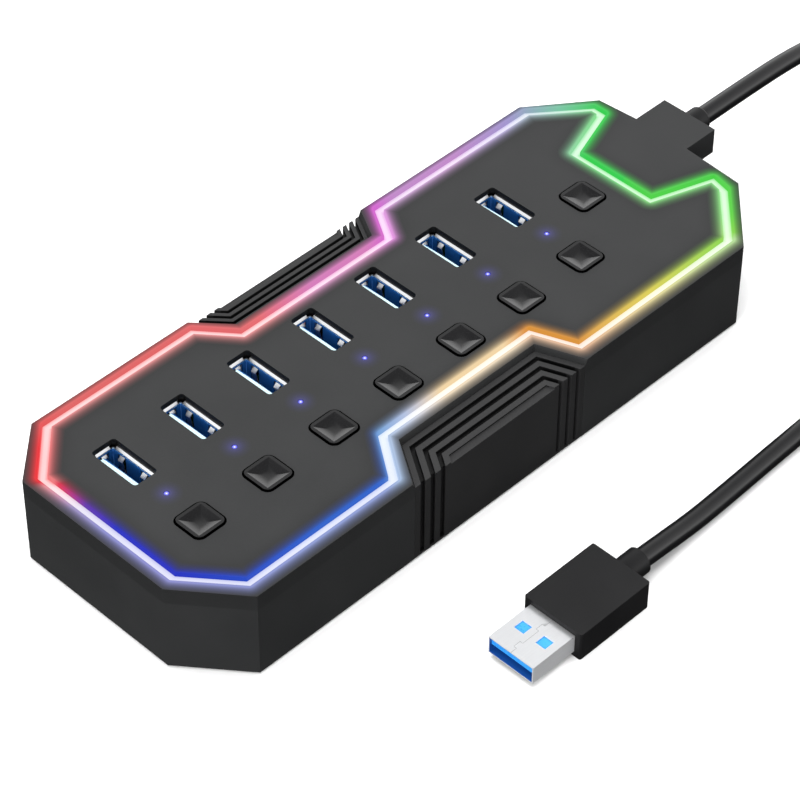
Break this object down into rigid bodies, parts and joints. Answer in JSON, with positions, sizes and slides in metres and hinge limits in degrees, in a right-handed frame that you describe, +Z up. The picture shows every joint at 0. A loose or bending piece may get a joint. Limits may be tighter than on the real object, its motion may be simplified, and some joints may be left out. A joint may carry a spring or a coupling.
{
  "type": "usb hub",
  "caption": "Flat desktop USB hub with upright type A sockets, a push button beside each one, a lit edge channel, side grilles and a tethered cable with a plug.",
  "frame": {"origin": "middle of the hub's footprint on the table, cable left out", "axes": "+X along the body towards the cable, +Z up, +Y towards the side with the sockets"},
  "size_m": [0.3007, 0.1092, 0.0228],
  "materials": {
    "case": "fine matt texture",
    "cover": "matt",
    "grille": "matt, darker in the grooves",
    "light_guide": "frosted, lit in bands of colour from red through blue, yellow and green to magenta",
    "board": "solder mask over copper tracks",
    "socket_metal": "plain bright",
    "socket_blue": "moulded blue",
    "contact": "gold-coloured plating",
    "cap": "satin black",
    "stem": "natural white",
    "switch": "moulded black",
    "led": "white package with a yellow centre",
    "lens": "tinted blue, lit",
    "chip": "moulded epoxy with tin legs",
    "capacitor": "plain",
    "screw": "zinc plated",
    "foot": "matt",
    "cable": "smooth satin jacket",
    "tie": "satin",
    "overmould": "satin",
    "plug_metal": "satin nickel",
    "plug_blue": "moulded blue"
  },
  "bodies": {
    "hub": {"housing": "case", "top_panel": "case", "light_guide": "light_guide", "bottom_cover": "cover", "front_grille": "grille", "back_grille": "grille", "main_board": "board", "port_shell_1": "socket_metal", "port_shell_2": "socket_metal", "port_shell_3": "socket_metal", "port_shell_4": "socket_metal", "port_shell_5": "socket_metal", "port_shell_6": "socket_metal", "port_shell_7": "socket_metal", "port_core_1": "socket_blue", "port_core_2": "socket_blue", "port_core_3": "socket_blue", "port_core_4": "socket_blue", "port_core_5": "socket_blue", "port_core_6": "socket_blue", "port_core_7": "socket_blue", "port_contacts": "contact", "switch_bodies": "switch", "indicator_leds": "led", "indicator_lenses": "lens", "edge_leds": "led", "hub_controllers": "chip", "board_parts": "capacitor", "case_screws": "screw", "board_screws": "screw", "rubber_feet": "foot", "cable_tail": "cable", "cable_collar": "overmould", "cable_lead_hub": "cable", "cable_coil": "cable", "coil_tie": "tie", "cable_lead_plug": "cable", "plug_overmould": "overmould", "plug_shell": "plug_metal", "plug_insert": "plug_blue", "plug_contacts": "contact"},
    "button_1": {"button_cap_1": "cap", "switch_stem_1": "stem"},
    "button_2": {"button_cap_2": "cap", "switch_stem_2": "stem"},
    "button_3": {"button_cap_3": "cap", "switch_stem_3": "stem"},
    "button_4": {"button_cap_4": "cap", "switch_stem_4": "stem"},
    "button_5": {"button_cap_5": "cap", "switch_stem_5": "stem"},
    "button_6": {"button_cap_6": "cap", "switch_stem_6": "stem"},
    "button_7": {"button_cap_7": "cap", "switch_stem_7": "stem"},
    "mode_button": {"mode_button_cap": "cap", "mode_switch_stem": "stem"}
  },
  "joints": [
    {"name": "button_1_press", "type": "slide", "parent": "hub", "child": "button_1", "axis": [0, 0, -1], "range_m": [0, 0.0012], "stiffness_N_per_m": 900},
    {"name": "button_2_press", "type": "slide", "parent": "hub", "child": "button_2", "axis": [0, 0, -1], "range_m": [0, 0.0012], "stiffness_N_per_m": 900},
    {"name": "button_3_press", "type": "slide", "parent": "hub", "child": "button_3", "axis": [0, 0, -1], "range_m": [0, 0.0012], "stiffness_N_per_m": 900},
    {"name": "button_4_press", "type": "slide", "parent": "hub", "child": "button_4", "axis": [0, 0, -1], "range_m": [0, 0.0012], "stiffness_N_per_m": 900},
    {"name": "button_5_press", "type": "slide", "parent": "hub", "child": "button_5", "axis": [0, 0, -1], "range_m": [0, 0.0012], "stiffness_N_per_m": 900},
    {"name": "button_6_press", "type": "slide", "parent": "hub", "child": "button_6", "axis": [0, 0, -1], "range_m": [0, 0.0012], "stiffness_N_per_m": 900},
    {"name": "button_7_press", "type": "slide", "parent": "hub", "child": "button_7", "axis": [0, 0, -1], "range_m": [0, 0.0012], "stiffness_N_per_m": 900},
    {"name": "mode_button_press", "type": "slide", "parent": "hub", "child": "mode_button", "axis": [0, 0, -1], "range_m": [0, 0.0012], "stiffness_N_per_m": 900}
  ]
}
